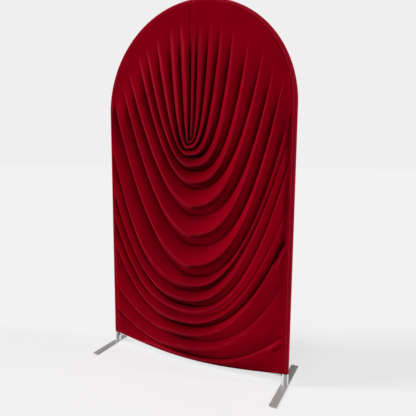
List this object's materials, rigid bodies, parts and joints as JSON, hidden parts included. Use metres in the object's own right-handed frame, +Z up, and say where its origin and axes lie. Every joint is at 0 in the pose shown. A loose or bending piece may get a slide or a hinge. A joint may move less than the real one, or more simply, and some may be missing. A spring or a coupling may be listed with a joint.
{
  "type": "arch backdrop cover on its stand",
  "caption": "Fitted stretch cloth cover with a swagged, draped front over a half-round arch stand of bent tube with flat foot plates.",
  "frame": {"origin": "on the floor, midway between the two foot plates, under the arch's middle", "axes": "+Z up; +X towards the arch's right-hand side as seen from the front; -Y is the front, where the drape shows"},
  "size_m": [1.206, 0.45, 2.112],
  "materials": {
    "cloth": "deep red stretch knit, softly lustrous",
    "tube": "satin",
    "foot": "satin grey"
  },
  "bodies": {
    "root": {"front_drape": "cloth", "back_panel": "cloth", "edge_band_left": "cloth", "edge_band_right": "cloth", "arch_tube_left": "tube", "arch_tube_right": "tube", "post_left": "tube", "post_right": "tube", "crossbar": "tube", "socket_left": "foot", "socket_right": "foot", "foot_plate_left": "foot", "foot_plate_right": "foot"}
  },
  "joints": []
}
